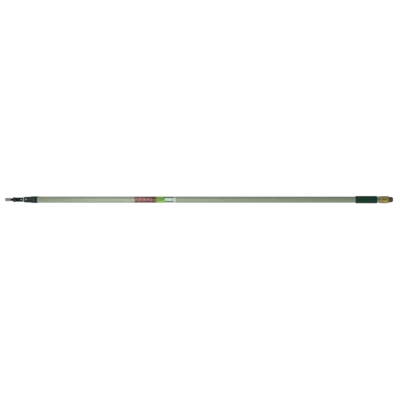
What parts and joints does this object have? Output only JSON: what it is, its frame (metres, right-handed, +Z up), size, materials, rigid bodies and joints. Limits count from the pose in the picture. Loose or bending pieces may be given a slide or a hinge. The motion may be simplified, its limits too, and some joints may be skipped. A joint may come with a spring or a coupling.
{
  "type": "roller extension pole",
  "caption": "Telescoping painter's pole: threaded tool tip, inner tube sliding in an outer tube, lever pin lock, hand grip and capped butt.",
  "frame": {"origin": "centre of the threaded tip's flat end face, on the pole's axis", "axes": "+X runs along the pole from the tool end to the butt, -Y is the side that the lock's lever faces, +Z is up"},
  "size_m": [1.971, 0.0427, 0.0386],
  "materials": {
    "tip_metal": "dull cast and tumbled",
    "neck_black": "moulded",
    "collar_brown_black": "moulded",
    "ferrule_green": "moulded",
    "inner_aluminium": "satin, drawn lengthways",
    "nylon": "moulded",
    "rivet_steel": "satin",
    "tube_sage": "satin fibreglass",
    "label_film": "printed film",
    "lock_green": "moulded, fine texture",
    "lever_green": "moulded, fine texture",
    "spring_steel": "rolled",
    "ring_pale": "moulded",
    "grip_green": "soft, finely textured",
    "cap_olive": "moulded, slightly glossy",
    "bumper_dark": "matt"
  },
  "bodies": {
    "outer_pole": {"outer_tube": "tube_sage", "front_sleeve": "nylon", "lock_nose": "lock_green", "lock_housing": "lock_green", "lever_pivot_pin": "rivet_steel", "lever_spring": "spring_steel", "retaining_ring": "ring_pale", "housing_screw_upper": "rivet_steel", "housing_screw_lower": "rivet_steel", "label": "label_film", "grip": "grip_green", "butt_cap": "cap_olive", "cap_rivet": "rivet_steel", "butt_bumper": "bumper_dark"},
    "inner_pole": {"threaded_tip": "tip_metal", "tip_neck": "neck_black", "tip_collar": "collar_brown_black", "tip_ferrule": "ferrule_green", "tip_rivet": "rivet_steel", "inner_tube": "inner_aluminium", "plug_rivet": "rivet_steel", "guide_bush": "nylon", "guide_bush_rivet": "rivet_steel"},
    "lever": {"lock_lever": "lever_green", "lock_pin": "rivet_steel"}
  },
  "joints": [
    {"name": "pole_slide", "type": "slide", "parent": "outer_pole", "child": "inner_pole", "axis": [-1, 0, 0], "range_m": [0, 1.6764]},
    {"name": "lock_lever_hinge", "type": "hinge", "parent": "outer_pole", "child": "lever", "pos_m": [0.137, -0.02048, 0], "axis": [0, 0, 1], "range_deg": [-4.2, 4], "stiffness_Nm_per_rad": 1, "springref_deg": -4.2, "deforming": ["lever_spring"]}
  ]
}
